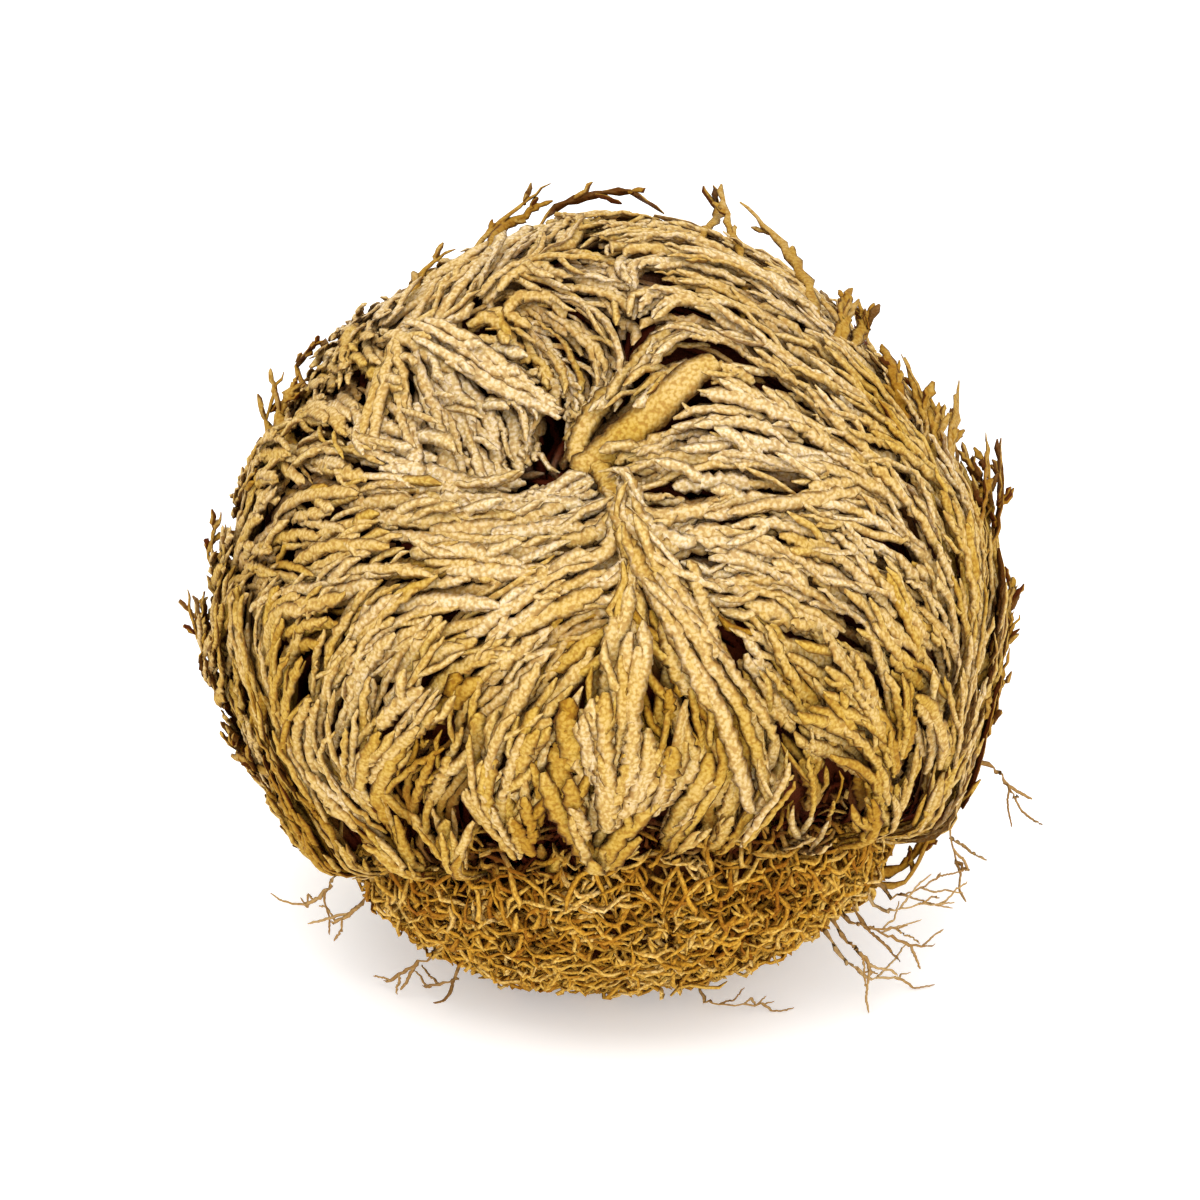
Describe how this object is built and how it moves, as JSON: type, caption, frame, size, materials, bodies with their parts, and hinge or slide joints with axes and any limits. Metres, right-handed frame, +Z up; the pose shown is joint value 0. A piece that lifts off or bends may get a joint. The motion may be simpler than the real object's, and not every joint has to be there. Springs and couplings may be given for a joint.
{
  "type": "rose of jericho",
  "caption": "Dried rose of jericho curled into a ball: scaly straw fronds that rise from a mat of wiry roots and curl into a hollow on top.",
  "frame": {"origin": "middle of the flat spot that the root mat rests on", "axes": "+Z up, -Y towards the front, where the fronds curl into the hollow, +X to the right seen from the front"},
  "size_m": [0.0905, 0.0848, 0.0816],
  "materials": {
    "straw_frond": "dry, scaly, matt",
    "dull_straw_frond": "dry, scaly, matt",
    "brown_frond": "dry, scaly, matt",
    "matted_root": "fibrous, matt",
    "crown_wood": "rough, matt",
    "wiry_root": "dry, matt"
  },
  "bodies": {
    "root": {"outer_frond_01": "straw_frond", "outer_frond_02": "straw_frond", "outer_frond_03": "straw_frond", "outer_frond_04": "straw_frond", "outer_frond_05": "straw_frond", "outer_frond_06": "straw_frond", "outer_frond_07": "straw_frond", "outer_frond_08": "straw_frond", "outer_frond_09": "straw_frond", "outer_frond_10": "straw_frond", "outer_frond_11": "straw_frond", "outer_frond_12": "straw_frond", "outer_frond_13": "straw_frond", "outer_frond_14": "straw_frond", "outer_frond_15": "straw_frond", "outer_frond_16": "straw_frond", "outer_frond_17": "straw_frond", "outer_frond_18": "straw_frond", "middle_frond_01": "dull_straw_frond", "middle_frond_02": "dull_straw_frond", "middle_frond_03": "dull_straw_frond", "middle_frond_04": "dull_straw_frond", "middle_frond_05": "dull_straw_frond", "middle_frond_06": "dull_straw_frond", "middle_frond_07": "dull_straw_frond", "middle_frond_08": "dull_straw_frond", "middle_frond_09": "dull_straw_frond", "middle_frond_10": "dull_straw_frond", "middle_frond_11": "dull_straw_frond", "middle_frond_12": "dull_straw_frond", "middle_frond_13": "dull_straw_frond", "middle_frond_14": "dull_straw_frond", "inner_frond_01": "brown_frond", "inner_frond_02": "brown_frond", "inner_frond_03": "brown_frond", "inner_frond_04": "brown_frond", "inner_frond_05": "brown_frond", "inner_frond_06": "brown_frond", "inner_frond_07": "brown_frond", "inner_frond_08": "brown_frond", "root_mat": "matted_root", "root_crown": "crown_wood", "wiry_root_01": "wiry_root", "wiry_root_02": "wiry_root", "wiry_root_03": "wiry_root", "wiry_root_04": "wiry_root", "wiry_root_05": "wiry_root", "wiry_root_06": "wiry_root", "wiry_root_07": "wiry_root", "wiry_root_08": "wiry_root", "wiry_root_09": "wiry_root", "wiry_root_10": "wiry_root", "wiry_root_11": "wiry_root", "wiry_root_12": "wiry_root", "wiry_root_13": "wiry_root"}
  },
  "joints": []
}
